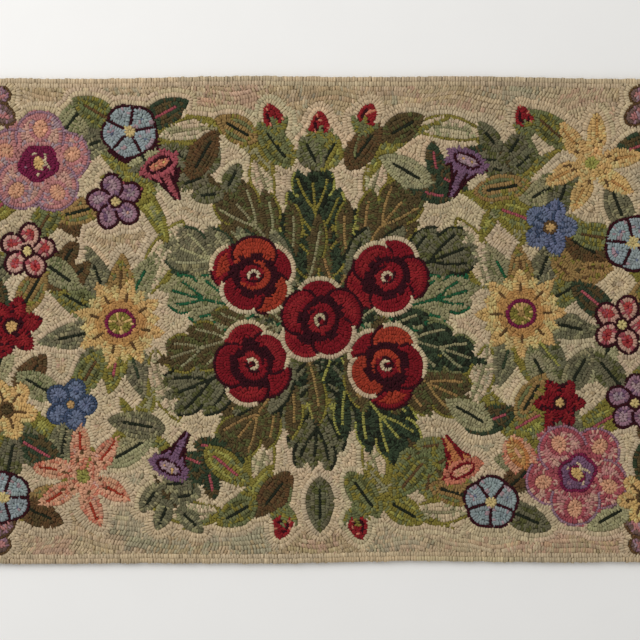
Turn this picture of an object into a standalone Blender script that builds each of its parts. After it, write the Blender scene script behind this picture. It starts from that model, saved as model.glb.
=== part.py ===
"""A hand-hooked wool rug, lying flat with its pile up.

Metres, +Z up. X runs along the long side, Y across it, and the pattern's top is towards +Y.
The origin is the middle of the flat underside. The rug is one cloth: a foundation with its hem
turned under, and the wool loops that are pulled up through it, which stand so close that
they make one even top.
"""

import math

import bmesh
import bpy

RUG_LENGTH = 0.915          # along X, three feet
RUG_WIDTH = 0.610           # along Y, two feet
RUG_THICKNESS = 0.008       # 2 mm of foundation and strip backs, 6 mm of loops
CORNER_RADIUS = 0.016       # the turned hem rounds each corner
CORNER_STEPS = 6
PILE_EDGE_ROUNDING = 0.0045  # loops at the rim lean outwards
HEM_EDGE_ROUNDING = 0.0015  # the fold of the hem
SIDE_WANDER = 0.0022        # how far a hand-made edge strays from a straight line
PILE_DIP = 0.0007           # how far the lower loops lie under the highest ones
CELL_SIZE = 0.023           # spacing of the points that carry the wander and the dips
WELD_DISTANCE = 0.00001

WOOL_COLOUR = (0.42, 0.35, 0.25, 1.0)  # the ground's beige, which covers most of the rug
WOOL_ROUGHNESS = 0.95


def wander(along, phase):
    """A slow uneven wave, from -1 to 1, for an edge that was folded and sewn by hand."""
    long_wave = math.sin(7.3 * along + phase)
    short_wave = math.sin(19.1 * along + 2.7 * phase)
    return 0.65 * long_wave + 0.35 * short_wave


def uneven_outline(x, y):
    """Let the four sides stray a little, each in its own way."""
    share_x = x / (RUG_LENGTH / 2)
    share_y = y / (RUG_WIDTH / 2)
    phase_x = 0.6 if x > 0 else 2.1
    phase_y = 1.4 if y > 0 else 3.3
    moved_x = x + SIDE_WANDER * share_x**3 * wander(y, phase_x)
    moved_y = y + SIDE_WANDER * share_y**3 * wander(x, phase_y)
    return moved_x, moved_y


def pile_height(x, y):
    """Height of the loops' top: even, with the shallow rises and dips of hand work."""
    broad = math.sin(11.0 * x + 4.0 * y + 0.5) * math.cos(9.0 * y - 5.0 * x)
    small = math.sin(31.0 * x - 17.0 * y) * math.sin(23.0 * y + 13.0 * x + 1.1)
    return RUG_THICKNESS - PILE_DIP * (0.5 - 0.3 * broad - 0.2 * small)


def outline_points():
    """The outline, anticlockwise from the right: an arc at each corner, then a side."""
    inner_x = RUG_LENGTH / 2 - CORNER_RADIUS
    inner_y = RUG_WIDTH / 2 - CORNER_RADIUS
    centres = [(inner_x, inner_y), (-inner_x, inner_y), (-inner_x, -inner_y), (inner_x, -inner_y)]
    points = []
    for corner, (centre_x, centre_y) in enumerate(centres):
        for step in range(CORNER_STEPS + 1):
            turn = math.pi / 2 * (corner + step / CORNER_STEPS)
            out_x, out_y = math.cos(turn) * CORNER_RADIUS, math.sin(turn) * CORNER_RADIUS
            points.append((centre_x + out_x, centre_y + out_y))
        next_x, next_y = centres[(corner + 1) % 4]
        along_x, along_y = next_x - centre_x, next_y - centre_y
        steps = round(math.hypot(along_x, along_y) / CELL_SIZE)
        for step in range(1, steps):
            share = step / steps
            points.append((centre_x + out_x + along_x * share, centre_y + out_y + along_y * share))
    return [uneven_outline(x, y) for x, y in points]


def make_slab():
    """A plain flat slab of the outline's shape, standing on z = 0, with one face each side."""
    curve = bpy.data.curves.new("rug_outline", "CURVE")
    curve.dimensions = "2D"
    curve.fill_mode = "BOTH"
    curve.extrude = RUG_THICKNESS / 2
    points = outline_points()
    spline = curve.splines.new("POLY")
    spline.points.add(len(points) - 1)
    spline.use_cyclic_u = True
    for spot, (x, y) in zip(spline.points, points):
        spot.co = (x, y, 0.0, 1.0)
    outline = bpy.data.objects.new("rug_outline", curve)
    bpy.context.scene.collection.objects.link(outline)
    evaluated = outline.evaluated_get(bpy.context.evaluated_depsgraph_get())
    data = bpy.data.meshes.new_from_object(evaluated)
    slab = bmesh.new()
    slab.from_mesh(data)
    bpy.data.objects.remove(outline, do_unlink=True)
    bpy.data.curves.remove(curve)
    bpy.data.meshes.remove(data)
    bmesh.ops.remove_doubles(slab, verts=slab.verts, dist=WELD_DISTANCE)
    bmesh.ops.translate(slab, verts=slab.verts, vec=(0, 0, RUG_THICKNESS / 2))
    for is_top in (True, False):
        bmesh.ops.dissolve_faces(slab, faces=level_faces(slab, is_top))
    bmesh.ops.recalc_face_normals(slab, faces=slab.faces)
    return slab


def level_faces(mesh, is_top):
    """Faces that lie flat on the top or on the underside."""
    height = RUG_THICKNESS if is_top else 0.0
    return [
        face for face in mesh.faces
        if all(abs(vert.co.z - height) < WELD_DISTANCE for vert in face.verts)
    ]


def round_rim(mesh, is_top, rounding, segments):
    """Round the rim between the side wall and the top, or the wall and the underside."""
    flat = level_faces(mesh, is_top)
    rim = list({edge for face in flat for edge in face.edges})
    bmesh.ops.bevel(
        mesh, geom=rim, offset=rounding, segments=segments,
        profile=0.5, affect="EDGES", clamp_overlap=False, material=-1,
    )


def cut_top_in_cells(mesh):
    """Cut the flat top along X and Y, so that it can carry the pile's rises and dips."""
    for axis, size in ((0, RUG_LENGTH), (1, RUG_WIDTH)):
        cells = round(size / CELL_SIZE)
        normal = (1, 0, 0) if axis == 0 else (0, 1, 0)
        for cut in range(1, cells):
            place = size * (cut / cells - 0.5)
            point = tuple(place * share for share in normal)
            faces = level_faces(mesh, is_top=True)
            edges = list({edge for face in faces for edge in face.edges})
            verts = list({vert for face in faces for vert in face.verts})
            bmesh.ops.bisect_plane(
                mesh, geom=faces + edges + verts, dist=WELD_DISTANCE,
                plane_co=point, plane_no=normal,
            )


def set_pile_height(mesh):
    """Lower the flat top's points to the pile's own height."""
    top = {vert for face in level_faces(mesh, is_top=True) for vert in face.verts}
    for vert in top:
        vert.co.z = pile_height(vert.co.x, vert.co.y)


def fit_to_size(mesh):
    """Give the uneven outline its exact overall size, centred on the origin."""
    for axis, size in ((0, RUG_LENGTH), (1, RUG_WIDTH), (2, RUG_THICKNESS)):
        places = [vert.co[axis] for vert in mesh.verts]
        low, high = min(places), max(places)
        start = 0.0 if axis == 2 else -size / 2
        for vert in mesh.verts:
            vert.co[axis] = start + (vert.co[axis] - low) * size / (high - low)


def make_wool():
    """Matt beige wool."""
    wool = bpy.data.materials.new("wool_pile")
    wool.use_nodes = True
    shader = wool.node_tree.nodes["Principled BSDF"]
    shader.inputs["Base Color"].default_value = WOOL_COLOUR
    shader.inputs["Roughness"].default_value = WOOL_ROUGHNESS
    shader.inputs["Metallic"].default_value = 0.0
    return wool


def make_rug(collection):
    """The cloth with its pile: one closed solid with a flat underside and a nearly even top."""
    mesh = make_slab()
    round_rim(mesh, is_top=True, rounding=PILE_EDGE_ROUNDING, segments=3)
    round_rim(mesh, is_top=False, rounding=HEM_EDGE_ROUNDING, segments=1)
    cut_top_in_cells(mesh)
    set_pile_height(mesh)
    fit_to_size(mesh)
    data = bpy.data.meshes.new("hooked_rug")
    mesh.to_mesh(data)
    mesh.free()
    data.shade_smooth()
    data.set_sharp_from_angle(angle=math.radians(50))
    data.materials.append(make_wool())
    collection.objects.link(bpy.data.objects.new("hooked_rug", data))


def main():
    for old in list(bpy.data.objects):
        bpy.data.objects.remove(old, do_unlink=True)
    rug = bpy.data.collections.new("Hooked rug")
    bpy.context.scene.collection.children.link(rug)
    make_rug(rug)


main()
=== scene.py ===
import itertools
import math

import bmesh
import bpy
import numpy as np
from mathutils import Matrix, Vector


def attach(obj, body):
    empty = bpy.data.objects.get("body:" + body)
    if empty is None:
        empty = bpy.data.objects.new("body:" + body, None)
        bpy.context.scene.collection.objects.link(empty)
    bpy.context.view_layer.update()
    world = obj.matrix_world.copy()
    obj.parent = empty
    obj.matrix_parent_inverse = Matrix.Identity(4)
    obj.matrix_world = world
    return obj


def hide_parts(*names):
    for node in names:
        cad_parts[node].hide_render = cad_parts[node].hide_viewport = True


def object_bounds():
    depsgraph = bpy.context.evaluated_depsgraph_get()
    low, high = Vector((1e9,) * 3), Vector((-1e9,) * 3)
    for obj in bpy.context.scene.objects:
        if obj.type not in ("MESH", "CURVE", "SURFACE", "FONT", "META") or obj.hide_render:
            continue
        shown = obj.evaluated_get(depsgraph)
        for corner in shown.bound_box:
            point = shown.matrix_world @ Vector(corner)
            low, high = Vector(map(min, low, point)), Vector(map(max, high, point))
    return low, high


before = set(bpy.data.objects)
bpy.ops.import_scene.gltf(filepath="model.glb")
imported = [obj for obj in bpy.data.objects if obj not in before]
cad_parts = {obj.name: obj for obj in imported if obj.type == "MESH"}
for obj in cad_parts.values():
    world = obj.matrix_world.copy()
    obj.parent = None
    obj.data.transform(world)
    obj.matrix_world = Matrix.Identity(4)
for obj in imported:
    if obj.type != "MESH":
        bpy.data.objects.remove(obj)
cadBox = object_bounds()
farX, farY, topZ = cadBox[1]  # the solid is centred and stands on z = 0

# Sizes in the drawing are millimetres; the meshes are in metres
mm = 0.001

# What the whole rug shares: change the row and loop spacing here
rug = dict(
    cell=0.6,             # grid of the drawing
    groundRow=5.7,        # rows of wide strips in the ground
    groundStep=3.4,       # one loop to the next along such a row
    motifRow=4.7,         # narrower strips in flowers and leaves
    motifStep=3.1,
    motifRows=12,         # most rows from an outline inwards
    lineStep=3.1,         # along a vein or an outline of one row
    closeAlong=0.68,      # loops stand no nearer than these shares of step and width
    closeAcross=0.7,
    sliver=2.4,           # ground narrower than twice this is hooked over
    slack=1.2,            # what is kept of the ground's own corners
    openGround=7.0,       # ground this far from any motif is open
    reachTurns=70,        # grid cells that narrow ground may reach in from there
    echoRows=2,           # pale rows that follow every outline
    loopHeight=5.9,
    seed=11,
)

# Dyed wools, as sRGB colours in even light
wools = dict(
    cream=(186, 167, 136),
    beige=(178, 158, 127),
    sand=(166, 145, 112),
    rosyBeige=(176, 147, 121),
    greyBeige=(160, 149, 122),
    maroon=(50, 10, 19),
    crimson=(114, 19, 28),
    redRose=(128, 30, 34),
    brick=(146, 52, 34),
    blackGreen=(32, 36, 24),
    bottleGreen=(50, 61, 42),
    mossGreen=(82, 82, 46),
    brownOlive=(80, 66, 40),
    umber=(90, 66, 40),
    olive=(122, 112, 50),
    lime=(146, 141, 72),
    sage=(136, 130, 96),
    paleSage=(150, 144, 108),
    greyGreen=(102, 98, 74),
    emerald=(30, 82, 52),
    leafGreen=(106, 108, 70),
    tan=(140, 112, 68),
    gold=(188, 154, 99),
    amber=(170, 128, 76),
    paleYellow=(188, 168, 114),
    magenta=(108, 28, 60),
    purple=(112, 82, 104),
    mauve=(140, 106, 118),
    lilac=(152, 128, 132),
    pink=(170, 116, 112),
    dustyPink=(182, 142, 126),
    rosePink=(150, 74, 80),
    blue=(98, 106, 128),
    deepBlue=(60, 72, 94),
    paleBlue=(136, 146, 146),
    peach=(192, 144, 114),
    coral=(182, 112, 88),
    orange=(174, 112, 68),
    roseRed=(160, 60, 58),
    mauveBrown=(104, 82, 74),
)

# Looks of leaves and petals: wools from the outline inwards, then the wool and the share of flecks
looks = {
    name: dict(rows=rows.split(), fleck=(fleck, share)) for name, rows, fleck, share in (
        ("nightLeaf", "bottleGreen", "blackGreen", 0.35),
        ("mottledLeaf", "greyGreen greyGreen leafGreen", "mossGreen", 0.3),
        ("brownLeaf", "brownOlive", "mossGreen", 0.3),
        ("oliveLeaf", "leafGreen mossGreen", "olive", 0.3),
        ("sageLeaf", "sage sage paleSage", "leafGreen", 0.14),
        ("greyLeaf", "greyGreen greyGreen sage", "sage", 0.3),
        ("paleLeaf", "paleSage paleSage sage", "sage", 0.2),
        ("limeLeaf", "olive lime sage", "leafGreen", 0.22),
        ("tanLeaf", "tan leafGreen", "olive", 0.14),
        ("umberLeaf", "umber", "brownOlive", 0.35),
        ("darkLeaf", "bottleGreen brownOlive", "brownOlive", 0.3),
        ("faintLeaf", "cream greyBeige", "paleSage", 0.25),
        ("cornerLeaf", "mauveBrown", "mauve", 0.3),
        ("paleBlade", "olive sage paleSage", "sage", 0.2),
        ("yellowPetal", "gold gold paleYellow", "paleYellow", 0.2),
        ("palePetal", "paleYellow", "gold", 0.16),
        ("purplePetal", "mauve lilac dustyPink", "purple", 0.2),
        ("pinkPetal", "dustyPink roseRed crimson", "rosePink", 0.2),
        ("rosePetal", "rosePink pink dustyPink", "dustyPink", 0.25),
        ("palePink", "pink dustyPink dustyPink", "lilac", 0.2),
        ("bluePetal", "blue", "deepBlue", 0.12),
        ("paleBluePetal", "paleBlue paleBlue blue", "lilac", 0.12),
        ("coralPetal", "peach dustyPink", "coral", 0.25),
        ("orangePetal", "orange amber peach", "gold", 0.16),
        ("redPetal", "crimson redRose", "maroon", 0.12),
        ("budRed", "redRose crimson", "coral", 0.1),
    )
}


def plain(*rows):
    # A look without flecks
    return dict(rows=rows)


# Drawing board


class Pattern:
    # The drawing on the foundation: a grid that says for each spot which area it belongs to

    def __init__(self, outline):
        low, high = outline.min(axis=0), outline.max(axis=0)
        self.cell = rug["cell"]
        self.origin = low - 2 * self.cell
        cells = np.ceil((high - low) / self.cell).astype(int) + 4
        middles = [(np.arange(count) + 0.5) * self.cell for count in cells]
        self.gridX, self.gridY = self.origin[0] + middles[0], self.origin[1] + middles[1]
        self.spots = self.within(outline, self.gridX[None, :], self.gridY[:, None]).astype(np.int32)
        self.looks = [None, plain("cream", "cream", "beige")]  # what lies outside, and the ground
        self.lines = []

    @staticmethod
    def within(outline, gridX, gridY):
        # Even-odd test of every spot against a closed outline
        hit = np.zeros(np.broadcast(gridX, gridY).shape, bool)
        lastX, lastY = outline[-1]
        for nextX, nextY in outline:
            crosses = (lastY > gridY) != (nextY > gridY)
            rise = (nextY - lastY) or 1.0
            hit ^= crosses & (gridX < (nextX - lastX) * (gridY - lastY) / rise + lastX)
            lastX, lastY = nextX, nextY
        return hit

    def window(self, points, margin):
        # The part of the grid that holds these points, and the places of its columns and lines
        low = (points.min(axis=0) - margin - self.origin) / self.cell
        high = (points.max(axis=0) + margin - self.origin) / self.cell
        left, right = max(int(low[0]), 0), min(int(high[0]) + 2, len(self.gridX))
        down, up = max(int(low[1]), 0), min(int(high[1]) + 2, len(self.gridY))
        here = slice(down, up), slice(left, right)
        return here, self.gridX[None, here[1]], self.gridY[here[0], None]

    def paint(self, here, hit, look):
        self.looks.append(look)
        part = self.spots[here]
        part[hit & (part > 0)] = len(self.looks) - 1

    def area(self, outlines, look):
        # Fill one or more overlapping outlines as one area
        here, gridX, gridY = self.window(np.vstack(outlines), self.cell)
        hits = [self.within(outline, gridX, gridY) for outline in outlines]
        self.paint(here, np.any(hits, axis=0), look)

    def line(self, points, wool, width, closed=False):
        # A single hooked row along the points, with the strip's width across it
        if closed:
            points = np.vstack([points, points[:1]])
        here, gridX, gridY = self.window(points, width)
        nearest = np.full(np.broadcast(gridX, gridY).shape, 1e9)
        for (startX, startY), (endX, endY) in zip(points[:-1], points[1:]):
            alongX, alongY = endX - startX, endY - startY
            span = alongX**2 + alongY**2 or 1.0
            share = np.clip(((gridX - startX) * alongX + (gridY - startY) * alongY) / span, 0, 1)
            offX = gridX - startX - share * alongX
            offY = gridY - startY - share * alongY
            nearest = np.minimum(nearest, offX**2 + offY**2)
        self.paint(here, nearest < (width / 2) ** 2, dict(rows=(wool,), line=True))
        self.lines.append((len(self.looks) - 1, points, width))

    def at(self, x, y):
        # Grid line and column of places in millimetres
        column = np.clip(((x - self.origin[0]) / self.cell).astype(int), 0, len(self.gridX) - 1)
        line = np.clip(((y - self.origin[1]) / self.cell).astype(int), 0, len(self.gridY) - 1)
        return line, column


def readAll(items, name, width=1, kind=float):
    # One value of all items at once, with a line of the array for each item
    values = np.empty(len(items) * width, kind)
    items.foreach_get(name, values)
    return values.reshape(-1, width) if width > 1 else values


def rugOutline():
    # The rug's own edge, read from the wall of the CAD solid, in order round the middle
    spots = readAll(bpy.data.objects["hooked_rug"].data.vertices, "co", 3)
    high = spots[:, 2].max()
    wall = spots[(spots[:, 2] > 0.1 * high) & (spots[:, 2] < 0.3 * high)][:, :2] / mm
    wall = np.unique(wall.round(3), axis=0)
    return wall[np.argsort(np.arctan2(wall[:, 1], wall[:, 0]))]


pattern = Pattern(rugOutline())


class Place:
    # A spot on the drawing with a direction: a shape set here grows along it

    def __init__(self, x, y, turn=0.0):
        self.x, self.y, self.turn = x, y, turn

    def put(self, points):
        angle = math.radians(self.turn)
        turned = np.array([[math.cos(angle), math.sin(angle)], [-math.sin(angle), math.cos(angle)]])
        return np.asarray(points, float) @ turned + (self.x, self.y)

    def turned(self, slant):
        return Place(self.x, self.y, self.turn + slant)

    def moved(self, along, aside=0.0, slant=0.0):
        return Place(*self.put([(along, aside)])[0], self.turn + slant)

    def area(self, look, outline):
        pattern.area([self.put(outline)], look)

    def row(self, wool, points, width=3.3, closed=False):
        pattern.line(self.put(points), wool, width, closed)

    def disc(self, wool, radius):
        Place(self.x, self.y).area(plain(wool), ovalOutline(radius, radius))

    def ring(self, wool, radius, width):
        Place(self.x, self.y).row(wool, ovalOutline(radius, radius), width, True)


# Shapes that the motifs share, in millimetres, growing from the origin along +X


def leafOutline(length, width, belly, blunt, bend=0.0):
    share = np.linspace(0, 1, 23)
    swell = np.clip(np.sin(np.pi * share ** (math.log(0.5) / math.log(belly))), 0, 1) ** blunt
    spine = bend * length * share**2
    upper = np.column_stack([share * length, spine + swell * width / 2])
    lower = np.column_stack([share * length, spine - swell * width / 2])
    return np.vstack([upper, lower[-2:0:-1]])


def spineLine(length, start, end, bend=0.0):
    share = np.linspace(start, end, 9)
    return np.column_stack([share * length, bend * length * share**2])


def ovalOutline(halfLength, halfWidth, scallops=0, depth=0.0):
    turn = np.linspace(0, 2 * np.pi, 49)[:-1]
    reach = 1 - depth + depth * np.abs(np.sin(scallops * turn / 2)) if scallops else 1.0
    return np.column_stack([halfLength * np.cos(turn) * reach, halfWidth * np.sin(turn) * reach])


def arcLine(halfLength, halfWidth, start, end, centre=0.0):
    turn = np.radians(np.linspace(start, end, 15))
    return np.column_stack([centre + halfLength * np.cos(turn), halfWidth * np.sin(turn)])


def alongSpine(place, length, bend, share, slant=0.0):
    # A place on a bent midrib or stem, looking along it or at a slant to it
    return place.moved(share * length, bend * length * share**2,
                       slant + math.degrees(math.atan(2 * bend * share)))


# Leaves


def hookLeaf(place, length, width, look, vein, bend=0.0, blunt=0.8):
    # A single leaf, with a short midrib of one row
    place.area(look, leafOutline(length, width, 0.45, blunt, bend))
    place.row(vein, spineLine(length, 0.24, 0.74, bend), 3.4)


lobedLeaf = dict(fingers=4, first=0.02, gap=0.21, slant=57, lessSlant=7, curl=-0.24)


def hookLobedLeaf(place, length, width, look, vein, edge, bend):
    # A broad leaf with long separate fingers that point forwards from its midrib
    outlines = [place.put(leafOutline(length, 0.24 * width, 0.64, 0.5, bend))]
    veins = [place.put(spineLine(length, 0.02, 0.88, bend))]
    rims = []
    for finger, side in itertools.product(range(lobedLeaf["fingers"]), (1, -1)):
        share = lobedLeaf["first"] + lobedLeaf["gap"] * finger
        reach = width * (0.98 - 0.13 * finger)
        slant = side * (lobedLeaf["slant"] - lobedLeaf["lessSlant"] * finger)
        root = alongSpine(place, length, bend, share, slant)
        outline = leafOutline(reach, 0.15 * length, 0.68, 0.66, lobedLeaf["curl"] * side)
        outlines.append(root.put(outline))
        veins.append(root.put(spineLine(reach, 0.0, 0.78, lobedLeaf["curl"] * side)))
        half = outline[12:23] if side > 0 else outline[23:34]
        rims.append(root.put(half * (0.98, 0.94)))
    pattern.area(outlines, look)
    for line in rims:
        pattern.line(line, edge, 3.2)
    for line in veins:
        pattern.line(line, vein, 3.4)


spray = dict(pairs=2, leaf=42)


def hookSpray(place, length, bend, look, vein):
    # A thin stem with leaves in pairs and one at its end
    leaf = spray["leaf"]
    place.row("brownOlive", spineLine(length, 0, 1, bend), 3.4)
    for pair in range(spray["pairs"]):
        root = alongSpine(place, length, bend, (pair + 0.5) / (spray["pairs"] + 0.1))
        for side in (1, -1):
            hookLeaf(root.turned(62 * side), leaf, 0.56 * leaf, look, vein, blunt=0.62)
    hookLeaf(alongSpine(place, length, bend, 1), 1.1 * leaf, 0.58 * leaf, look, vein, blunt=0.62)


def hookFaintLeaf(place, length, width, bend):
    # A leaf in the colours of the ground, with a thin outline and a pale midrib
    outline = leafOutline(length, width, 0.5, 0.7, bend)
    place.area(looks["faintLeaf"], outline)
    place.row("olive", outline, 3.2, True)
    place.row("sage", spineLine(length, 0.0, 0.8, bend), 3.2)


# Flowers, with their parts as shares of the radius or the length


def hookRose(place, radius, petals, edges):
    # Five uneven petals, some with a pale edge, round a dark cup and folds that wind to the heart
    for number, slant, share in ((0, 0, 1.0), (2, 140, 1.07), (4, 291, 1.03), (1, 68, 0.93), (3, 218, 0.95)):
        own = share * radius
        root = place.turned(slant).moved(0.54 * own)
        heart = (place.x, place.y, (0.8 * share - 0.24) * radius, "maroon")
        look = dict(rows=petals[number % len(petals)], heart=heart)
        root.area(look, ovalOutline(0.47 * own, 0.56 * radius, 5, 0.05))
        root.row("maroon", arcLine(0.44 * own, 0.53 * radius, -118, 118), 3.0)
        start, end = edges[number]
        if end > start:
            root.row("cream", arcLine(0.43 * own, 0.52 * radius, start, end), 5.4)
    place.area(plain("maroon"), ovalOutline(0.49 * radius, 0.45 * radius, 5, 0.08))
    for number, (offX, offY, size, start, end) in enumerate((
        (0.05, -0.06, 0.41, -160, 40), (-0.05, 0.05, 0.3, 20, 200), (0.04, 0.0, 0.2, 170, 330),
    )):
        root = place.moved(offX * radius, offY * radius)
        fold = dict(rows=petals[(number + 1) % len(petals)])
        root.area(fold, ovalOutline(size * radius, 0.9 * size * radius))
        root.row("maroon", arcLine(0.92 * size * radius, 0.82 * size * radius, start, end), 3.4)
    place.row("cream", arcLine(0.12 * radius, 0.1 * radius, -60, 170), 4.2)
    place.area(plain("maroon"), ovalOutline(0.07 * radius, 0.06 * radius))


def hookSunFlower(place, radius, petals=8):
    # Two rings of pointed petals round a seed head with a bright ring
    for ring, (share, look) in enumerate(((0.86, "palePetal"), (1.0, "yellowPetal"))):
        for petal in range(petals):
            own = place.turned(360 * (petal + ring / 2) / petals)
            outline = leafOutline(share * radius, 2.9 * radius / petals, 0.58, 0.75)
            own.area(dict(looks[look], heart=(place.x, place.y, 0.52 * radius, "amber")), outline)
            if ring:
                own.row("umber", spineLine(radius, 0.46, 0.66), 3.0)
    head = ovalOutline(0.3 * radius, 0.28 * radius)
    place.area(dict(rows=("olive", "olive", "tan"), fleck=("gold", 0.3)), head)
    place.row("magenta", head, 4.2, True)


def hookRoundFlower(place, radius, look, outline, middle, petals=5, vein=None):
    # Round petals side by side, each with its own outline or vein
    for petal in range(petals):
        own = place.turned(360 * petal / petals)
        root = own.moved(0.56 * radius)
        oval = ovalOutline(0.44 * radius, 1.92 * radius / petals)
        root.area(look, oval)
        if outline:
            root.row(outline, oval * 0.95, 3.3, True)
        if vein:
            own.row(vein, [(0.2 * radius, 0), (0.62 * radius, 0)], 3.0)
    place.disc(middle, 0.2 * radius)
    place.ring(outline or "umber", 0.21 * radius, 3.2)


def hookBell(place, length, body, mouth, dark):
    # A trumpet seen from the side, from its stem to its frilled mouth
    side = [(0, 0.05), (0.2, 0.09), (0.45, 0.17), (0.64, 0.3), (0.78, 0.42)]
    under = [(share, -half) for share, half in side]
    place.area(plain(*body), np.array(side + under[::-1]) * length)
    for line in (side, under):
        place.row(dark, np.array(line) * length)
    for slant in (-0.13, 0.13):
        place.row(dark, np.array([(0.3, slant * 0.6), (0.66, slant)]) * length, 3.0)
    centre = place.moved(0.8 * length)
    centre.area(plain(*mouth), ovalOutline(0.24 * length, 0.48 * length, 7, 0.14))
    centre.row(dark, ovalOutline(0.12 * length, 0.27 * length), 3.3, True)
    centre.area(plain(mouth[-1]), ovalOutline(0.09 * length, 0.2 * length))
    for slant in (-0.1, 0.08):
        centre.row("gold", np.array([(-0.02, slant), (0.04, slant)]) * length, 3.2)


def hookGlory(place, radius, look):
    # An open round flower with rays from its throat
    face = ovalOutline(radius, 0.95 * radius, 5, 0.1)
    place.area(look, face)
    place.row("maroon", face * 0.96, 3.4, True)
    for ray in range(5):
        place.turned(72 * ray).row("maroon", [(0.2 * radius, 0), (0.8 * radius, 0)], 3.4)
    place.disc("paleYellow", 0.2 * radius)


def hookLily(place, radius, look, mid, petals=6):
    # Pointed petals that curl back, with freckles in the throat
    for petal in range(petals):
        own = place.turned(360 * (petal / petals))
        bend = 0.16 if petal % 2 else -0.12
        own.area(look, leafOutline(radius, 0.4 * radius, 0.55, 0.85, bend))
        own.row(mid, spineLine(radius, 0.5, 0.86, bend), 3.0)
        for share, aside in ((0.3, 0.05), (0.44, -0.06)):
            own.row("umber", np.array([(share, aside), (share + 0.07, aside)]) * radius, 3.0)
    place.disc("lime", 0.13 * radius)


def hookPeony(place, radius, look, pouch):
    # Broad ruffled petals, each with its own edge, round a darker inner flower
    for number in (0, 2, 4, 1, 3):
        own = place.turned(72 * number)
        root = own.moved(0.52 * radius)
        root.area(look, ovalOutline(0.5 * radius, 0.5 * radius, 7, 0.06))
        root.row("mauve", arcLine(0.46 * radius, 0.46 * radius, -110, 110), 3.0)
        own.moved(0.66 * radius).area(plain("peach"), ovalOutline(0.17 * radius, 0.14 * radius))
    cup = ovalOutline(0.4 * radius, 0.35 * radius, 5, 0.16)
    place.area(plain(*pouch), cup)
    place.row("magenta", cup * 0.96, 3.6, True)
    for slant in (56, 124):
        place.turned(slant).row("cream", arcLine(0.26 * radius, 0.1 * radius, 200, 330), 3.2)
    place.area(plain("gold"), ovalOutline(0.1 * radius, 0.13 * radius))
    place.row("magenta", arcLine(0.13 * radius, 0.16 * radius, 20, 320), 3.0)


def hookStar(place, radius, look, petals=6):
    for petal in range(petals):
        place.turned(360 * petal / petals).area(look, leafOutline(radius, 0.62 * radius, 0.52, 0.8))
    place.disc("gold", 0.2 * radius)
    place.ring("maroon", 0.22 * radius, 3.3)


def hookBud(place, length, stem=0.9):
    # A closed bud on its stem, held by three sepals
    place.turned(180).row("leafGreen", spineLine(length * stem, 0, 1, 0.12), 3.4)
    place.area(looks["budRed"], leafOutline(length, 0.56 * length, 0.5, 0.6))
    place.row("maroon", arcLine(0.2 * length, 0.14 * length, 20, 240, 0.6 * length), 3.2)
    for slant in (-42, 42, 0):
        sepal = leafOutline(0.62 * length, 0.24 * length, 0.45, 0.8)
        place.turned(slant).area(looks["oliveLeaf"], sepal)


def hookCornerLeaf(place, length):
    # Three broad scrolls side by side, each with a pink heart
    for slant, share in ((46, 0.74), (-46, 0.74), (0, 1.0)):
        own = place.turned(slant)
        scroll = leafOutline(length * share, 0.5 * length, 0.62, 0.55)
        own.area(looks["cornerLeaf"], scroll)
        own.row("umber", scroll * 0.97, 3.2, True)
        heart = leafOutline(0.5 * length * share, 0.2 * length, 0.6, 0.6)
        own.moved(0.36 * length * share).area(looks["palePink"], heart)


def hookTulip(place, length, look, other):
    for slant, own in ((-17, other), (17, other), (0, look)):
        place.turned(slant).area(own, leafOutline(length, 0.5 * length, 0.5, 0.62))


# The layout


def layCentre():
    # Broad leaves that radiate from behind five roses, over a dark middle
    Place(0, 0).area(looks["nightLeaf"], ovalOutline(112, 84))
    start = 38  # the leaves grow from this far out
    # angle, reach, width, look, vein, edge, bend
    for angle, reach, width, look, vein, edge, bend in (
        (91, 190, 92, "nightLeaf", "olive", "lime", 0.05),
        (60, 198, 100, "brownLeaf", "tan", "olive", -0.12),
        (121, 198, 100, "brownLeaf", "sage", "olive", 0.12),
        (-90, 188, 92, "mottledLeaf", "blackGreen", "blackGreen", -0.06),
        (-61, 196, 100, "nightLeaf", "lime", "lime", 0.12),
        (-121, 198, 98, "brownLeaf", "tan", "olive", -0.1),
        (32, 220, 98, "mottledLeaf", "blackGreen", "blackGreen", -0.14),
        (148, 218, 96, "greyLeaf", "paleSage", "bottleGreen", 0.12),
        (-33, 218, 96, "brownLeaf", "tan", "olive", 0.1),
        (-148, 220, 100, "mottledLeaf", "blackGreen", "blackGreen", -0.12),
        (8, 208, 74, "sageLeaf", "emerald", "emerald", 0.08),
        (172, 208, 74, "sageLeaf", "emerald", "emerald", -0.08),
        (-11, 216, 74, "nightLeaf", "sage", "leafGreen", -0.08),
        (-169, 214, 74, "brownLeaf", "sage", "olive", 0.08),
    ):
        root = Place(0, 0, angle).moved(start)
        hookLobedLeaf(root, reach - start, width, looks[look], vein, edge, bend)
    red = [("crimson",), ("crimson", "redRose"), ("redRose", "crimson")]
    warm = [("crimson",), ("brick",), ("crimson", "brick")]
    # x, y, radius, turn, petals, pale edges
    for x, y, radius, turn, petals, edges in (
        (-83, 56, 53, 20, warm, ((-75, 70), (0, 0), (-60, 20), (-80, 60), (-30, 75))),
        (84, 54, 52, 65, red, ((-70, 75), (-75, 30), (0, 0), (-60, 70), (0, 0))),
        (-84, -55, 52, -35, red, ((0, 0), (-70, 70), (-75, 65), (0, 0), (-60, 40))),
        (83, -57, 53, 140, warm, ((-60, 75), (-75, 75), (0, 0), (-20, 70), (-70, 40))),
        (0, 0, 54, 90, red, ((-75, 75), (0, 0), (-70, 75), (-75, 70), (0, 0))),
    ):
        hookRose(Place(x, y, turn), radius, petals, edges)


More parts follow.
